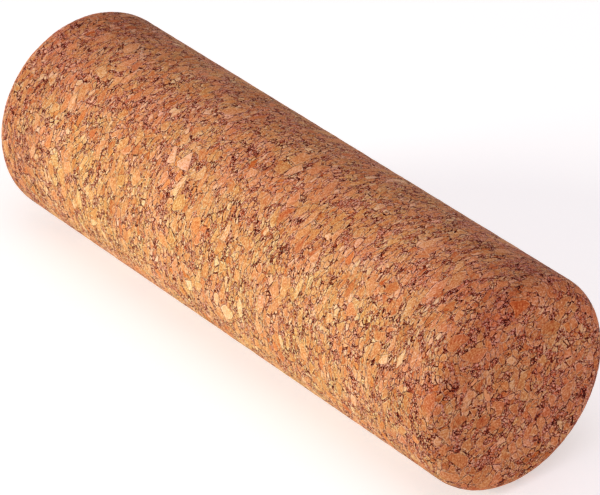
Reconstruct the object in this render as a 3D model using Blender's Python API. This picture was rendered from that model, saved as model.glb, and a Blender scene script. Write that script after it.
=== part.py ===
"""Solid agglomerated-cork roller, lying on its side.

The roller is one moulded and turned block: cork granules pressed together with
binder, a plain cylinder with rounded rims and flat ends. It has no core, no
bore, no skin and no end caps, so it is one solid.

Frame: metres, +Z up, the roller's axis along X, the origin on the surface it
lies on, under the middle of its length. Run it in Blender 4.5, from the text
editor or with: blender --background --python part.py
"""

import math

import bmesh
import bpy
from mathutils import Matrix, Vector

# Driving dimensions, in metres
LENGTH = 0.300
DIAMETER = 0.096
RIM_RADIUS = 0.010

# How finely the round shape is cut into facets. 60 around keep it within 0.07 mm of
# round, and each facet is wide enough (5 mm) for the roller to lie still on.
FACETS_ROUND = 60
FACETS_RIM = 6

# Pressed cork: warm tan, dull, no metal
CORK_COLOUR = (0.50, 0.235, 0.105, 1.0)
CORK_ROUGHNESS = 0.75


def clear_scene():
    """Start from nothing, whatever the open file holds."""
    for old in list(bpy.data.objects):
        bpy.data.objects.remove(old, do_unlink=True)


def cork_material():
    """Plain pressed cork."""
    material = bpy.data.materials.new("cork")
    material.use_nodes = True
    shader = material.node_tree.nodes["Principled BSDF"]
    shader.inputs["Base Color"].default_value = CORK_COLOUR
    shader.inputs["Roughness"].default_value = CORK_ROUGHNESS
    shader.inputs["Metallic"].default_value = 0.0
    return material


def roller_profile():
    """Points (x, radius) of the turned outline, from the -X face to the +X face."""
    radius = DIAMETER / 2
    centre_x = LENGTH / 2 - RIM_RADIUS
    centre_r = radius - RIM_RADIUS
    rim = []
    for step in range(FACETS_RIM + 1):
        angle = math.radians(90) * step / FACETS_RIM
        rim.append((centre_x + RIM_RADIUS * math.cos(angle), centre_r + RIM_RADIUS * math.sin(angle)))
    # rim runs from the +X face round to the side; mirrored, it closes the -X end
    return [(-x, r) for x, r in rim] + rim[::-1]


def roller_mesh():
    """Turn the outline about X, then close both ends with a flat face."""
    mesh_data = bpy.data.meshes.new("cork_roller")
    bm = bmesh.new()
    # Half a facet of turn puts a flat facet, not an edge, at the very bottom
    start = Matrix.Rotation(math.pi / FACETS_ROUND, 4, "X")
    outline = [bm.verts.new(start @ Vector((x, 0.0, r))) for x, r in roller_profile()]
    edges = [bm.edges.new(pair) for pair in zip(outline, outline[1:])]
    bmesh.ops.spin(
        bm,
        geom=outline + edges,
        cent=(0.0, 0.0, 0.0),
        axis=(1.0, 0.0, 0.0),
        angle=math.tau,
        steps=FACETS_ROUND,
        use_merge=True,
    )
    bmesh.ops.remove_doubles(bm, verts=bm.verts, dist=1e-6)
    bmesh.ops.holes_fill(bm, edges=[e for e in bm.edges if e.is_boundary])
    bmesh.ops.recalc_face_normals(bm, faces=bm.faces)
    bm.to_mesh(mesh_data)
    bm.free()
    mesh_data.shade_smooth()
    mesh_data.set_sharp_from_angle(angle=math.radians(30))
    return mesh_data


def add_roller():
    """The roller, raised so that its lowest facet lies on the ground plane."""
    roller = bpy.data.objects.new("cork_roller", roller_mesh())
    roller.data.materials.append(cork_material())
    lowest_facet = DIAMETER / 2 * math.cos(math.pi / FACETS_ROUND)
    roller.location = (0.0, 0.0, lowest_facet)
    bpy.context.collection.objects.link(roller)
    return roller


clear_scene()
add_roller()
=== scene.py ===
"""Looks of a solid roller of pressed cork granules.

One piece, pressed_cork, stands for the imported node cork_roller. Its mesh is a fine grid over the same
rounded cylinder. One function, cork_pattern, lays the granules out in space from the position alone. The
material reads it for colour, roughness and bump, and a Geometry Nodes modifier reads it to press the granules
and pits into the mesh, so that a granule's colour, edge and height agree on the side, the rims and the ends.
"""

import math

import bmesh
import bpy
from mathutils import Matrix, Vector


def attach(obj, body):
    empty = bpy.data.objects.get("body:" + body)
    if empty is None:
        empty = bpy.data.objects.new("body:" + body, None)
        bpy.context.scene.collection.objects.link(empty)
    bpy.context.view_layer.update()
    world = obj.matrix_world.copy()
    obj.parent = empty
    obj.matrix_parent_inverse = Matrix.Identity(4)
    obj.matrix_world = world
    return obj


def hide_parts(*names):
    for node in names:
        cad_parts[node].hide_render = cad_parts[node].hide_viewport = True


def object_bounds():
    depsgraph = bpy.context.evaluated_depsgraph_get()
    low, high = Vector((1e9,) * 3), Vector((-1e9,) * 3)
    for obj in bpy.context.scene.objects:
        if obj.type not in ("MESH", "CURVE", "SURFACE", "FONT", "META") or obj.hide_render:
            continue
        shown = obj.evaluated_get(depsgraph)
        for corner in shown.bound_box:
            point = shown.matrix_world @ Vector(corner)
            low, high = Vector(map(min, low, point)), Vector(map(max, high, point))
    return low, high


NODE = "cork_roller"
MM = 0.001
# The middle of a random vector, and of a noise vector
HALF = (0.5, 0.5, 0.5)

# The camera: its direction from the roller, its distance, and where it aims beside the roller's middle
CAMERA_AZIMUTH = 51.07
CAMERA_ELEVATION = 31.62
CAMERA_DISTANCE = 1.6536
CAMERA_LENS = 233.2
AIM_RIGHT = 0.0051
AIM_UP = -0.0035

# The floor: how far it runs flat, how far out and up its curved border goes, and how pale it is
FLOOR_RADIUS = 6.0
CURVE_RADIUS = 1.5
CURVE_STEPS = 12
FLOOR_STEPS_ROUND = 96
FLOOR_COLOUR = (0.70, 0.71, 0.71, 1.0)
FLOOR_ROUGHNESS = 0.9
FLOOR_GLOW = 0.50

# The light: a low warm key from the front, a soft rosy light from above, and a dim world
KEY_LIGHT = dict(azimuth=-36.0, elevation=14.0, distance=4.0, size=1.8, power=142.0, colour=(1.0, 0.99, 0.90))
TOP_LIGHT = dict(azimuth=60.0, elevation=72.0, distance=2.0, size=1.6, power=14.0, colour=(1.0, 0.87, 0.92))
WORLD_COLOUR = (1.0, 0.90, 0.96, 1.0)
WORLD_STRENGTH = 0.30

# The rounded rim, and the size of the grid that carries the relief
RIM_RADIUS = 10.0 * MM
GRID = 1.05 * MM

# The map that the material is unrolled onto: the height that the side takes, and the gap beside each patch
SIDE_SHARE = 0.755
MAP_GAP = 0.005

# Granules, coarse to fine: mean width in mm, share of cells that hold one, stretch across the roller with its
# angle, and how much thinner they are along the roller, the way the block was pressed
LEVELS = [
    dict(size=8.6, share=0.12, stretch=1.9, angle=20.0, squash=2.0),
    dict(size=6.2, share=0.22, stretch=1.6, angle=112.0, squash=2.1),
    dict(size=4.2, share=0.42, stretch=1.5, angle=66.0, squash=2.1),
    dict(size=2.9, share=0.60, stretch=1.5, angle=155.0, squash=2.2),
    dict(size=2.0, share=0.75, stretch=1.5, angle=40.0, squash=2.2),
    dict(size=1.4, share=1.00, stretch=1.4, angle=0.0, squash=2.2),
]
# How much smaller than its cell a coarse granule is, so that finer ones fill the space around it
CELL_MARGIN = 0.05
# The fines are the granules up to the first width, in mm, and partly those up to the second
FINES = (1.4, 2.9)

# How far granule outlines are bent, and made ragged, in mm: the size of the swirls and the reach
BEND_SIZE, BEND_REACH = 26.0, 9.0
RAGGED_SIZE, RAGGED_REACH = 1.6, 0.7

# Seams and pits. As the noise called openness goes from the first number of SEAM_OPENS to the second, a seam
# widens from the first half width to the second, in mm, and a pit likewise
OPENNESS_SIZE = 3.2
SEAM_OPENS, SEAM_HALF_WIDTH = (0.40, 0.62), (0.04, 0.18)
PIT_OPENS, PIT_HALF_WIDTH = (0.64, 0.78), (0.01, 0.60)
# The soft edge of a seam or pit, and where the paler lip beside a seam, a painted highlight, begins and ends,
# all in half widths
SOFT_EDGE = (0.6, 1.1)
LIP_BEGINS, LIP_ENDS = (1.0, 1.6), (2.2, 3.6)

# Sizes of the noise, in mm: the grain inside a granule, the finest mottle, the flecks, the clusters of bark,
# the patches that hold more bark, the slow drift in lightness and the soft waves of the surface
GRAIN_SIZE = 1.6
MOTTLE_SIZE = 0.90
FLECK_SIZE = 2.4
CLUSTER_SIZE = 6.0
PATCH_SIZE = 14.0
DRIFT_SIZE = 24.0
WAVE_SIZE = 12.0
# How far the noise is pressed flat: the grain, by this plus 1, along a direction of its granule's own, and
# the mottle and flecks along the roller
GRAIN_SQUASH = 2.6
MOTTLE_SQUASH = (2.0, 1.0, 1.0)
FLECK_SQUASH = (1.8, 1.0, 1.0)

# Where the colour changes, in mm: towards the ends, with painted shade and more bark clusters, towards the
# upper side, with painted shade, and how far those borders wander
NEAR_ENDS_FROM_TO = (85.0, 140.0)
UPPER_SIDE_FROM_TO = (70.0, 92.0)
WANDER_SIZE, WANDER_REACH = 40.0, 12.0

# Depth of the fine bump, and of the relief in the mesh: granules, pits and long soft waves
BUMP = 0.27 * MM
GRANULE_RELIEF = 0.12 * MM
PIT_DEPTH = 0.15 * MM
WAVINESS = 0.25 * MM

# What makes up a point's tone, from 0, darkest, to 1, palest. In a pair, the second number is for the fines
MEAN_TONE = (0.705, 0.645)
GRANULE_SPREAD = (0.35, 0.47)
GRAIN_SPREAD = 0.36
MOTTLE_SPREAD = (0.65, 2.50)
DRIFT_SPREAD = 0.11
SEAM_TONE = (-0.66, -0.54)
# The paler lip beside a seam is a painted highlight along the granule's edge
LIP_HIGHLIGHT_TONE = 0.18
PIT_TONE = -0.32
CLUSTER_TONE = (0.0, -0.20)
CLUSTER_TONE_NEAR_ENDS = -0.13
DARK_FLECK_TONE = (-0.06, -0.42)
PALE_FLECK_TONE = (0.05, 0.21)

# A granule's own tone for its random number: mostly mid tan, now and then bark brown or cream
OWN_TONES = [(0.00, 0.14), (0.12, 0.38), (0.82, 0.60), (0.93, 0.78), (1.00, 1.00)]

# The colour for each tone, as 0 to 255 screen colours: from bark brown over tan to cream
PALETTE = [
    (0.00, (62, 12, 10)),
    (0.25, (136, 42, 19)),
    (0.40, (169, 77, 37)),
    (0.52, (191, 109, 56)),
    (0.62, (203, 134, 79)),
    (0.70, (216, 158, 98)),
    (0.78, (230, 181, 123)),
    (0.90, (245, 216, 176)),
]

# Tints that multiply the palette, linear. Where two share a line, a granule lies somewhere between them
PLAIN = (1.00, 1.00, 1.00, 1.0)
RUSTY, TAN = (1.02, 0.99, 0.91, 1.0), (0.99, 1.02, 1.03, 1.0)
PINK, YELLOW = (1.03, 0.95, 0.99, 1.0), (0.98, 1.06, 0.98, 1.0)
CLEAN, BARK = (0.99, 1.03, 0.97, 1.0), (1.00, 0.84, 1.00, 1.0)
BRIGHT_RUST = (1.03, 0.76, 0.62, 1.0)
# Painted shade: the side that lies up, away from the low key light, darker and redder
UPPER_SIDE_SHADE = (0.98, 0.86, 0.93, 1.0)
# Painted shade: darker and redder towards both ends
NEAR_ENDS_SHADE = (0.85, 0.76, 0.80, 1.0)
# Painted shade: the flat ends tinted redder
END_FACE_SHADE = (1.11, 0.94, 0.94, 1.0)
WHOLE_BLOCK = (0.88, 0.82, 0.795, 1.0)

# How dull the cork is, and how much more or less so along its grain and in its gaps
ROUGHNESS = 0.68
GRAIN_ROUGHNESS = 0.3
GAP_ROUGHNESS = 0.22
SHINE = 0.08


class Nodes:
    """Short calls that build a node tree, in a material or in Geometry Nodes."""

    def __init__(self, tree):
        self.tree = tree

    def add(self, kind, **settings):
        node = self.tree.nodes.new(kind)
        for name, value in settings.items():
            setattr(node, name, value)
        return node

    def put(self, socket, value):
        if isinstance(value, bpy.types.NodeSocket):
            self.tree.links.new(value, socket)
        else:
            socket.default_value = value

    def math(self, operation, *values):
        node = self.add("ShaderNodeMath", operation=operation)
        for socket, value in zip(node.inputs, values):
            self.put(socket, value)
        return node.outputs[0]

    def vector(self, operation, *values):
        node = self.add("ShaderNodeVectorMath", operation=operation)
        for socket, value in zip(node.inputs, values):
            self.put(socket, value)
        return node.outputs["Value" if operation == "DOT_PRODUCT" else "Vector"]

    def scaled(self, value, factor):
        node = self.add("ShaderNodeVectorMath", operation="SCALE")
        self.put(node.inputs[0], value)
        self.put(node.inputs["Scale"], factor)
        return node.outputs["Vector"]

    def parts(self, value):
        node = self.add("ShaderNodeSeparateXYZ")
        self.put(node.inputs[0], value)
        return tuple(node.outputs)

    def ease(self, value, low, high, start=0.0, end=1.0):
        """A smooth step from start to end as value goes from low to high."""
        node = self.add("ShaderNodeMapRange", interpolation_type="SMOOTHSTEP")
        for name, number in (("Value", value), ("From Min", low), ("From Max", high)):
            self.put(node.inputs[name], number)
        self.put(node.inputs["To Min"], start)
        self.put(node.inputs["To Max"], end)
        return node.outputs["Result"]

    def noise(self, at, size, detail=2.0, roughness=0.5, output=0):
        """Fractal noise whose largest swirls are about size across: output 0 is a number, 1 a colour."""
        node = self.add("ShaderNodeTexNoise", noise_dimensions="3D")
        self.put(node.inputs["Vector"], at)
        self.put(node.inputs["Scale"], 1.0 / size)
        self.put(node.inputs["Detail"], detail)
        self.put(node.inputs["Roughness"], roughness)
        return node.outputs[output]

    def centred_noise(self, at, size, detail, roughness=0.5):
        """Noise that is about 0 on average."""
        return self.math("SUBTRACT", self.noise(at, size, detail, roughness), 0.5)

    def cells(self, at, feature, output):
        node = self.add("ShaderNodeTexVoronoi", voronoi_dimensions="3D", feature=feature)
        self.put(node.inputs["Vector"], at)
        self.put(node.inputs["Scale"], 1.0)
        return node.outputs[output]

    def mix(self, kind, share, first, second, blend="MIX"):
        """Goes from first to second as share goes from 0 to 1. kind is FLOAT, VECTOR or RGBA."""
        node = self.add("ShaderNodeMix", data_type=kind)
        if kind == "RGBA":
            node.blend_type = blend
        place = {"FLOAT": 0, "VECTOR": 1, "RGBA": 2}[kind]
        self.put(node.inputs[0], share)
        self.put(node.inputs[2 + 2 * place], first)
        self.put(node.inputs[3 + 2 * place], second)
        return node.outputs[place]

    def ramp(self, value, stops):
        node = self.add("ShaderNodeValToRGB")
        while len(node.color_ramp.elements) < len(stops):
            node.color_ramp.elements.new(1.0)
        for element, (place, colour) in zip(node.color_ramp.elements, stops):
            element.position = place
            element.color = colour
        self.put(node.inputs["Fac"], value)
        return node.outputs["Color"]


def linear_light(colour):
    """A 0 to 255 screen colour as linear light, with its alpha."""
    shares = [value / 255 for value in colour]
    return (*[s / 12.92 if s <= 0.04045 else ((s + 0.055) / 1.055) ** 2.4 for s in shares], 1.0)


def for_fines(n, fines, pair):
    """The first number of the pair on plain granules, and the second on the fines."""
    plain, fine = pair
    return n.math("MULTIPLY_ADD", fines, fine - plain, plain)


def cork_pattern(n, position):
    """Lays out the granules. Returns the position in mm, the granule's random vector, how deep inside the
    granule the point lies, in mm, and the granule's mean width, in mm."""
    at = n.scaled(position, 1 / MM)
    bend = n.vector("SUBTRACT", n.noise(at, BEND_SIZE, 1.0, output=1), HALF)
    ragged = n.vector("SUBTRACT", n.noise(at, RAGGED_SIZE, 2.0, 0.6, output=1), HALF)
    moved = n.vector("ADD", n.scaled(bend, BEND_REACH), n.scaled(ragged, RAGGED_REACH))
    warped = n.vector("ADD", at, moved)

    random, depth, size = None, None, None
    for level in reversed(LEVELS):
        turned = n.add("ShaderNodeVectorRotate", rotation_type="X_AXIS")
        n.put(turned.inputs["Vector"], warped)
        n.put(turned.inputs["Angle"], math.radians(level["angle"]))
        wide = level["size"] * math.sqrt(level["stretch"])
        narrow = level["size"] / math.sqrt(level["stretch"])
        thick = level["size"] / level["squash"]
        placed = n.vector("DIVIDE", turned.outputs["Vector"], (thick, wide, narrow))
        cell = n.cells(placed, "F1", "Color")
        inside = n.math("MULTIPLY", n.cells(placed, "DISTANCE_TO_EDGE", "Distance"), level["size"])
        if random is None:
            random, depth, size = cell, inside, level["size"]
            continue
        inside = n.math("SUBTRACT", inside, CELL_MARGIN * level["size"])
        chosen = n.math("LESS_THAN", n.parts(cell)[0], level["share"])
        present = n.math("MULTIPLY", chosen, n.math("GREATER_THAN", inside, 0.0))
        random = n.mix("VECTOR", present, random, cell)
        depth = n.mix("FLOAT", present, depth, inside)
        size = n.mix("FLOAT", present, size, level["size"])
    return at, random, depth, size


def cork_gaps(n, at, depth):
    """The seams between granules, 1 in their middle and 0 outside: thin lines, wide in some stretches and all
    but closed in others. Also the paler lip beside a seam, and the pits where granules didn't quite meet."""
    openness = n.noise(at, OPENNESS_SIZE, 1.0, 0.6)
    reach = n.math("DIVIDE", depth, n.ease(openness, *SEAM_OPENS, *SEAM_HALF_WIDTH))
    seam = n.ease(reach, *SOFT_EDGE, 1.0, 0.0)
    # The lip is a painted highlight beside the seam
    lip = n.math("MULTIPLY", n.ease(reach, *LIP_BEGINS), n.ease(reach, *LIP_ENDS, 1.0, 0.0))
    pit_reach = n.math("DIVIDE", depth, n.ease(openness, *PIT_OPENS, *PIT_HALF_WIDTH))
    pit = n.ease(pit_reach, *SOFT_EDGE, 1.0, 0.0)
    return seam, lip, pit


def cork_grain(n, at, random):
    """Grain inside a granule, about 0 on average: noise pressed flat along a direction that it alone has."""
    along = n.vector("NORMALIZE", n.vector("SUBTRACT", random, HALF))
    run = n.scaled(along, n.math("MULTIPLY", n.vector("DOT_PRODUCT", at, along), GRAIN_SQUASH))
    # The random vector also moves the noise, so that neighbours don't share their grain
    place = n.vector("ADD", n.vector("ADD", at, run), n.scaled(random, 40.0))
    return n.centred_noise(place, GRAIN_SIZE, 2.0, 0.65)


def cork_flecks(n, at):
    """Hair-thin dark and pale lines, as numbers from 0 to 1: edges and cracks too small to be granules."""
    ridge = n.noise(n.vector("MULTIPLY", at, FLECK_SQUASH), FLECK_SIZE, 2.0, 0.7)
    # A line runs wherever the noise passes through one value, and a pale one close beside a dark one
    dark = n.ease(n.math("ABSOLUTE", n.math("SUBTRACT", ridge, 0.50)), 0.014, 0.038, 1.0, 0.0)
    pale = n.ease(n.math("ABSOLUTE", n.math("SUBTRACT", ridge, 0.57)), 0.010, 0.034, 1.0, 0.0)
    return dark, pale


def cork_tone(n, at, random, fines, near_ends, grain, mottle, gaps):
    """How light the point is, from 0 to 1."""
    seam, lip, pit = gaps
    greys = [(place, (tone, tone, tone, 1.0)) for place, tone in OWN_TONES]
    own_tone = n.math("SUBTRACT", n.ramp(n.parts(random)[1], greys), 0.5)
    clusters = n.ease(n.noise(at, CLUSTER_SIZE, 2.0), 0.60, 0.70)
    cluster_tone = for_fines(n, fines, CLUSTER_TONE)
    cluster_tone = n.math("MULTIPLY_ADD", near_ends, CLUSTER_TONE_NEAR_ENDS, cluster_tone)
    dark, pale = cork_flecks(n, at)
    tone = for_fines(n, fines, MEAN_TONE)
    for amount, weight in (
        (own_tone, for_fines(n, fines, GRANULE_SPREAD)),
        (grain, GRAIN_SPREAD),
        (mottle, for_fines(n, fines, MOTTLE_SPREAD)),
        (n.centred_noise(at, DRIFT_SIZE, 1.0), DRIFT_SPREAD),
        (seam, for_fines(n, fines, SEAM_TONE)),
        (lip, LIP_HIGHLIGHT_TONE),
        (pit, PIT_TONE),
        (clusters, cluster_tone),
        (dark, for_fines(n, fines, DARK_FLECK_TONE)),
        (pale, for_fines(n, fines, PALE_FLECK_TONE)),
    ):
        tone = n.math("MULTIPLY_ADD", amount, weight, tone)
    return tone


def cork_colour(n, at, random, fines, grain, mottle, gaps, facing):
    """The colour at a point: the palette at its tone, then tints, some of them painted shade."""
    along, _, up = n.parts(at)
    wander = n.math("MULTIPLY_ADD", n.noise(at, WANDER_SIZE, 1.0), 2 * WANDER_REACH, -WANDER_REACH)
    near_ends = n.ease(n.math("ADD", n.math("ABSOLUTE", along), wander), *NEAR_ENDS_FROM_TO)
    # The mask of the painted shade on the upper side
    upper_side_shade = n.ease(n.math("ADD", up, wander), *UPPER_SIDE_FROM_TO)
    tone = cork_tone(n, at, random, fines, near_ends, grain, mottle, gaps)
    colour = n.ramp(tone, [(place, linear_light(screen_colour)) for place, screen_colour in PALETTE])

    # Granules differ from rusty to tan and a little from pink to yellow, and a few are bright rust
    turn = n.parts(random)[2]
    other = n.math("FRACT", n.math("MULTIPLY", turn, 7.0))
    tints = [WHOLE_BLOCK, n.mix("RGBA", turn, RUSTY, TAN), n.mix("RGBA", other, PINK, YELLOW)]
    tints.append(n.mix("RGBA", n.ease(other, 0.93, 0.96), PLAIN, BRIGHT_RUST))
    # Whole patches of the block hold more bark, and so do the fines, and are duller and redder
    patches = n.ease(n.noise(at, PATCH_SIZE, 2.0), 0.4, 0.65, 0.0, 0.6)
    tints.append(n.mix("RGBA", n.math("MULTIPLY_ADD", fines, 0.8, patches), CLEAN, BARK))
    # Painted shade: darker and redder towards the side that lies up, and more so towards the ends
    tints.append(n.mix("RGBA", upper_side_shade, PLAIN, UPPER_SIDE_SHADE))
    # Painted shade towards both ends
    tints.append(n.mix("RGBA", near_ends, PLAIN, NEAR_ENDS_SHADE))
    # Painted shade on the flat ends: they are tinted redder still
    tints.append(n.mix("RGBA", n.ease(facing, 0.1, 0.8), PLAIN, END_FACE_SHADE))
    for tint in tints:
        colour = n.mix("RGBA", 1.0, colour, tint, blend="MULTIPLY")
    return colour


def cork_material():
    material = bpy.data.materials.new("cork")
    material.use_nodes = True
    n = Nodes(material.node_tree)
    shader = material.node_tree.nodes["Principled BSDF"]
    coordinates = n.add("ShaderNodeTexCoord").outputs
    facing = n.math("ABSOLUTE", n.parts(coordinates["Normal"])[0])
    at, random, depth, size = cork_pattern(n, coordinates["Object"])
    fines = n.ease(size, *FINES, 1.0, 0.0)
    gaps = cork_gaps(n, at, depth)
    grain = cork_grain(n, at, random)
    mottle = n.centred_noise(n.vector("MULTIPLY", at, MOTTLE_SQUASH), MOTTLE_SIZE, 1.0, 0.8)

    n.put(shader.inputs["Base Color"], cork_colour(n, at, random, fines, grain, mottle, gaps, facing))
    seam, _, pit = gaps
    hollow = n.math("MAXIMUM", seam, pit)
    roughness = n.math("MULTIPLY_ADD", grain, GRAIN_ROUGHNESS, ROUGHNESS)
    n.put(shader.inputs["Roughness"], n.math("MULTIPLY_ADD", hollow, GAP_ROUGHNESS, roughness))
    shader.inputs["Specular IOR Level"].default_value = SHINE

    # The bump: each granule stands at a height of its own, its face is rough, and the gaps around it are low
    stand = n.math("MULTIPLY", n.math("SUBTRACT", n.parts(random)[1], 0.3), n.ease(depth, 0.0, 0.35))
    height = n.math("MULTIPLY_ADD", grain, 0.5, n.math("MULTIPLY_ADD", mottle, 0.6, stand))
    height = n.math("SUBTRACT", height, hollow)
    bump = n.add("ShaderNodeBump")
    bump.inputs["Strength"].default_value = 1.0
    bump.inputs["Distance"].default_value = BUMP
    n.put(bump.inputs["Height"], height)
    n.put(shader.inputs["Normal"], bump.outputs["Normal"])
    return material


def press_relief(roller):
    """Presses the granules into the mesh itself: each stands a little proud or low, and the pits are open."""
    tree = bpy.data.node_groups.new("relief", "GeometryNodeTree")
    tree.interface.new_socket("Geometry", in_out="INPUT", socket_type="NodeSocketGeometry")
    tree.interface.new_socket("Geometry", in_out="OUTPUT", socket_type="NodeSocketGeometry")
    n = Nodes(tree)
    at, random, depth, _ = cork_pattern(n, n.add("GeometryNodeInputPosition").outputs[0])
    seam, _, pit = cork_gaps(n, at, depth)
    stand = n.math("MULTIPLY", n.math("SUBTRACT", n.parts(random)[1], 0.6), n.ease(depth, 0.0, 0.7))
    height = n.math("MULTIPLY", stand, GRANULE_RELIEF)
    height = n.math("MULTIPLY_ADD", n.math("MAXIMUM", seam, pit), -PIT_DEPTH, height)
    height = n.math("MULTIPLY_ADD", n.centred_noise(at, WAVE_SIZE, 1.0), WAVINESS, height)
    move = n.add("GeometryNodeSetPosition")
    n.put(move.inputs["Geometry"], n.add("NodeGroupInput").outputs[0])
    n.put(move.inputs["Offset"], n.scaled(n.add("GeometryNodeInputNormal").outputs[0], height))
    n.put(n.add("NodeGroupOutput").inputs[0], move.outputs[0])

    modifier = roller.modifiers.new("relief", "NODES")
    modifier.node_group = tree
    pressed = roller.evaluated_get(bpy.context.evaluated_depsgraph_get())
    mesh = bpy.data.meshes.new_from_object(pressed)
    mesh.name = "pressed_cork"
    roller.modifiers.clear()
    roller.data = mesh


def roller_grid(centre, length, radius):
    """The rounded cylinder as a fine even grid, with the map that its material is unrolled onto."""
    quarter = round(math.tau * radius / GRID / 4)
    around = 4 * quarter
    rim_steps = round(math.pi / 2 * RIM_RADIUS / GRID)
    side_half = length / 2 - RIM_RADIUS
    side_steps = round(2 * side_half / GRID)
    rim_arc = math.pi / 2 * RIM_RADIUS

    # Outline points (x, radius, distance along the outline), from the -X face's edge to the +X face's edge
    outline = []
    for step in range(rim_steps):
        angle = math.pi / 2 * step / rim_steps
        x = -side_half - RIM_RADIUS * math.cos(angle)
        outline.append((x, radius - RIM_RADIUS + RIM_RADIUS * math.sin(angle), rim_arc * step / rim_steps))
    for step in range(side_steps):
        x = -side_half + 2 * side_half * step / side_steps
        outline.append((x, radius, rim_arc + x + side_half))
    full_arc = 2 * rim_arc + 2 * side_half
    outline.append((side_half, radius, full_arc - rim_arc))
    for step in range(1, rim_steps + 1):
        angle = math.pi / 2 * step / rim_steps
        x = side_half + RIM_RADIUS * math.sin(angle)
        r = radius - RIM_RADIUS + RIM_RADIUS * math.cos(angle)
        outline.append((x, r, full_arc - rim_arc + RIM_RADIUS * angle))

    bm = bmesh.new()
    uv = bm.loops.layers.uv.new("OFBake")

    def point(x, r, angle):
        return bm.verts.new(centre + Vector((x, r * math.cos(angle), r * math.sin(angle))))

    def face(corners, places):
        made = bm.faces.new(corners)
        for loop, place in zip(made.loops, places):
            loop[uv].uv = place

    turn = math.tau / around
    rings = [[point(x, r, turn * k) for k in range(around)] for x, r, _ in outline]
    for row in range(len(rings) - 1):
        u0, u1 = (outline[row + k][2] / full_arc * (1 - 2 * MAP_GAP) + MAP_GAP for k in (0, 1))
        for k in range(around):
            v0, v1 = (SIDE_SHARE * j / around + MAP_GAP for j in (k, k + 1))
            nxt = (k + 1) % around
            corners = (rings[row][k], rings[row][nxt], rings[row + 1][nxt], rings[row + 1][k])
            face(corners, ((u0, v0), (u0, v1), (u1, v1), (u1, v0)))

    # Each flat end is a square grid drawn out to a disc, whose border is the outline's own ring
    disc = radius - RIM_RADIUS
    for sign, ring in ((-1, rings[0]), (1, rings[-1])):
        verts = {}
        for i in range(-quarter, quarter + 1, 2):
            for j in range(-quarter, quarter + 1, 2):
                a, b = i / quarter, j / quarter
                if a == 0 and b == 0:
                    r, angle = 0.0, 0.0
                elif abs(a) >= abs(b):
                    r, angle = a, math.pi / 4 * b / a
                else:
                    r, angle = b, math.pi / 2 - math.pi / 4 * a / b
                if r < 0:
                    r, angle = -r, angle + math.pi
                if max(abs(i), abs(j)) == quarter:
                    verts[i, j] = ring[round(angle / turn) % around]
                else:
                    verts[i, j] = point(sign * length / 2, disc * r, angle)
        mid = (0.25 + 0.5 * (sign > 0), 0.5 * (1 + SIDE_SHARE + MAP_GAP))
        reach_u, reach_v = 0.25 - 2 * MAP_GAP, 0.5 * (1 - SIDE_SHARE) - 1.5 * MAP_GAP
        for i in range(-quarter, quarter, 2):
            for j in range(-quarter, quarter, 2):
                keys = [(i, j), (i + 2, j), (i + 2, j + 2), (i, j + 2)]
                if sign < 0:
                    keys.reverse()
                corners = [verts[key] for key in keys]
                offsets = [(v.co - centre) / disc for v in corners]
                face(corners, [(mid[0] + o.y * reach_u, mid[1] + o.z * reach_v) for o in offsets])

    mesh = bpy.data.meshes.new("pressed_cork")
    bm.to_mesh(mesh)
    bm.free()
    mesh.shade_smooth()
    return mesh


def add_roller(low, high):
    centre = (low + high) / 2
    mesh = roller_grid(centre, high.x - low.x, (high.z - low.z) / 2)
    roller = bpy.data.objects.new("pressed_cork", mesh)
    bpy.context.scene.collection.objects.link(roller)
    mesh.materials.append(cork_material())
    press_relief(roller)
    return roller


def add_floor():
    """A pale floor that curves up all round, so that low views show no horizon."""
    material = bpy.data.materials.new("floor")
    material.use_nodes = True
    shader = material.node_tree.nodes["Principled BSDF"]
    shader.inputs["Base Color"].default_value = FLOOR_COLOUR
    shader.inputs["Roughness"].default_value = FLOOR_ROUGHNESS
    shader.inputs["Emission Color"].default_value = (1.0, 1.0, 1.0, 1.0)
    shader.inputs["Emission Strength"].default_value = FLOOR_GLOW

    outline = [(0.0, 0.0), (FLOOR_RADIUS, 0.0)]
    for step in range(1, CURVE_STEPS + 1):
        angle = math.radians(90) * step / CURVE_STEPS
        out = FLOOR_RADIUS + CURVE_RADIUS * math.sin(angle)
        outline.append((out, CURVE_RADIUS * (1 - math.cos(angle))))
    bm = bmesh.new()
    points = [bm.verts.new((r, 0.0, z)) for r, z in outline]
    edges = [bm.edges.new(pair) for pair in zip(points, points[1:])]
    bmesh.ops.spin(
        bm,
        geom=points + edges,
        cent=(0.0, 0.0, 0.0),
        axis=(0.0, 0.0, 1.0),
        angle=math.tau,
        steps=FLOOR_STEPS_ROUND,
        use_merge=True,
    )
    bmesh.ops.remove_doubles(bm, verts=bm.verts, dist=MM)
    mesh = bpy.data.meshes.new("floor")
    bm.to_mesh(mesh)
    bm.free()
    mesh.shade_smooth()
    mesh.materials.append(material)
    floor = bpy.data.objects.new("floor", mesh)
    bpy.context.scene.collection.objects.link(floor)


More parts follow.
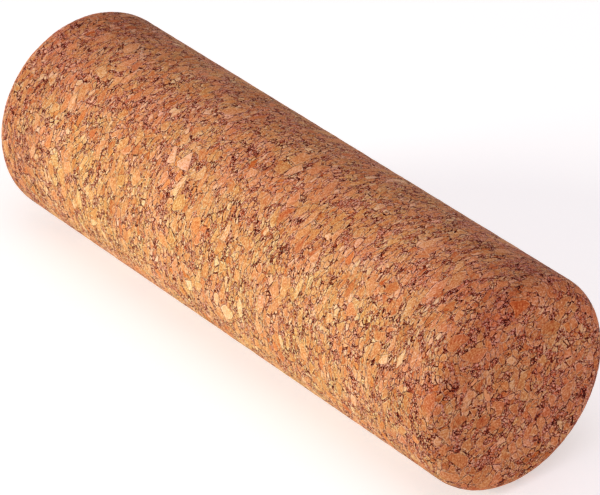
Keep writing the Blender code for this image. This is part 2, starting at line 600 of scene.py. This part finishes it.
def direction(azimuth, elevation):
    """The way out from the roller at that azimuth, 0 at -Y and 90 at +X, and elevation, in degrees."""
    a, e = math.radians(azimuth), math.radians(elevation)
    return Vector((math.sin(a) * math.cos(e), -math.cos(a) * math.cos(e), math.sin(e)))


def add_light(name, azimuth, elevation, distance, size, power, colour):
    light = bpy.data.lights.new(name, "AREA")
    light.shape = "DISK"
    light.size = size
    light.energy = power
    light.color = colour
    lamp = bpy.data.objects.new(name, light)
    way = direction(azimuth, elevation)
    lamp.location = way * distance
    lamp.rotation_euler = way.to_track_quat("Z", "Y").to_euler()
    bpy.context.scene.collection.objects.link(lamp)


def add_world():
    world = bpy.data.worlds.new("studio")
    world.use_nodes = True
    background = world.node_tree.nodes["Background"]
    background.inputs["Color"].default_value = WORLD_COLOUR
    background.inputs["Strength"].default_value = WORLD_STRENGTH
    bpy.context.scene.world = world


def add_camera(target):
    camera = bpy.data.objects.new("camera", bpy.data.cameras.new("camera"))
    camera.data.lens = CAMERA_LENS
    camera.data.clip_end = 20.0
    back = direction(CAMERA_AZIMUTH, CAMERA_ELEVATION)
    turn = back.to_track_quat("Z", "Y")
    camera.rotation_euler = turn.to_euler()
    camera.location = target + back * CAMERA_DISTANCE + turn @ Vector((AIM_RIGHT, AIM_UP, 0.0))
    bpy.context.scene.collection.objects.link(camera)
    bpy.context.scene.camera = camera


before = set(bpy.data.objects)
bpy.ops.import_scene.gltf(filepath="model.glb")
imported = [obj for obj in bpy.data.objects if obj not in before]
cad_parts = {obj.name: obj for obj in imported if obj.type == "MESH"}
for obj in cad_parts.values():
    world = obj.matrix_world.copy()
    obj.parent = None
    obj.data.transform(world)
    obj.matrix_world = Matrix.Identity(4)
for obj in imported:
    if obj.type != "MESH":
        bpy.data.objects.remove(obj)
cad_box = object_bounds()
add_camera((cad_box[0] + cad_box[1]) / 2)
add_floor()
add_world()
add_light("key", **KEY_LIGHT)
add_light("top", **TOP_LIGHT)
roller = add_roller(*cad_box)
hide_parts(NODE)
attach(roller, "root")
bpy.context.scene.view_settings.view_transform = "Standard"
